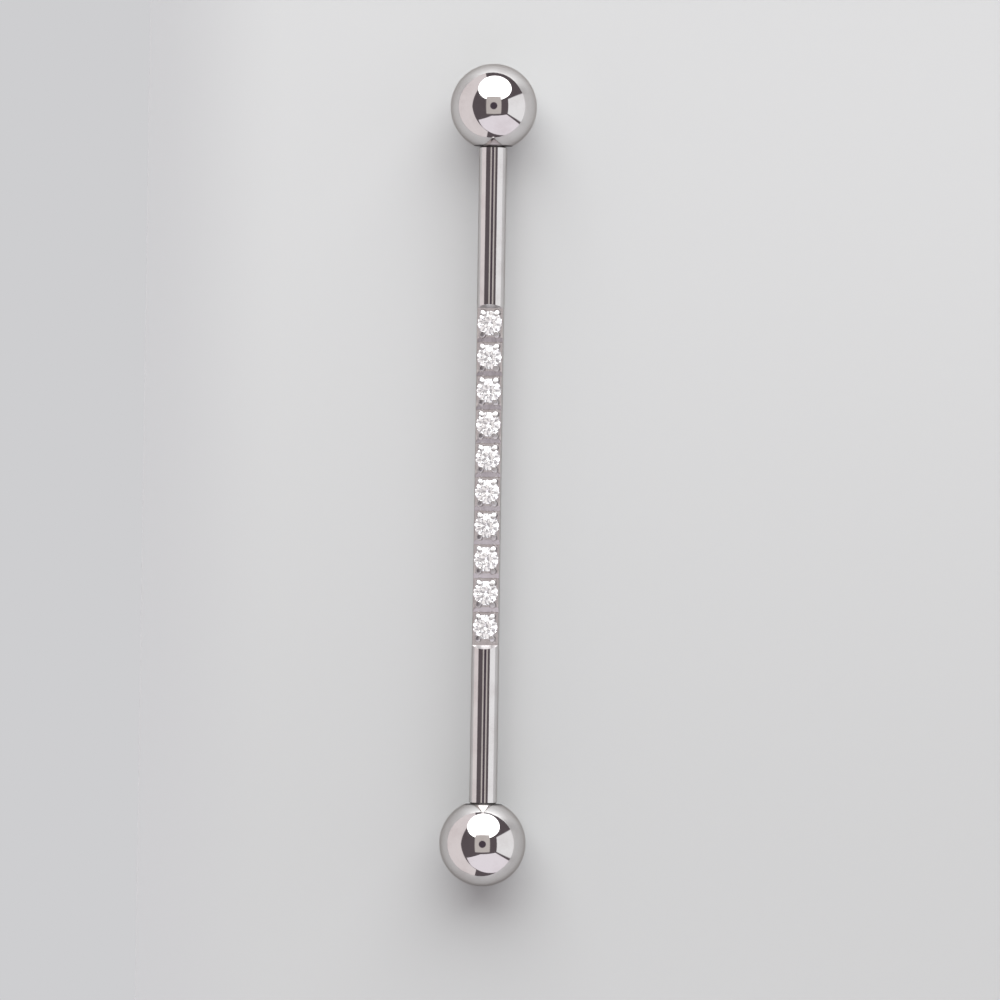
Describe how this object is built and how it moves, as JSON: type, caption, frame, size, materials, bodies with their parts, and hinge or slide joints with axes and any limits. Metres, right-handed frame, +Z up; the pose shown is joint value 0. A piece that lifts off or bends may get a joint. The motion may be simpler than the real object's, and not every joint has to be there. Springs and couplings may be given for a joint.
{
  "type": "industrial barbell",
  "caption": "Straight piercing barbell with a screw-on ball at each end and a row of round clear stones prong-set in a flat along its middle.",
  "frame": {"origin": "on the surface that the barbell rests on, under the middle of the bar", "axes": "+X along the bar towards ball_right, +Z up, out of the stones' tables"},
  "size_m": [0.0476, 0.005, 0.005],
  "materials": {
    "polished_steel": "mirror-polished surgical steel",
    "clear_stone": "cut and polished clear stone"
  },
  "bodies": {
    "bar": {"bar": "polished_steel", "stone_01": "clear_stone", "stone_02": "clear_stone", "stone_03": "clear_stone", "stone_04": "clear_stone", "stone_05": "clear_stone", "stone_06": "clear_stone", "stone_07": "clear_stone", "stone_08": "clear_stone", "stone_09": "clear_stone", "stone_10": "clear_stone"},
    "ball_left": {"ball_left": "polished_steel"},
    "ball_right": {"ball_right": "polished_steel"}
  },
  "joints": [
    {"name": "ball_left_unscrews", "type": "slide", "parent": "bar", "child": "ball_left", "axis": [-1, 0, 0], "range_m": [0, 0.006]},
    {"name": "ball_right_unscrews", "type": "slide", "parent": "bar", "child": "ball_right", "axis": [1, 0, 0], "range_m": [0, 0.006]}
  ]
}
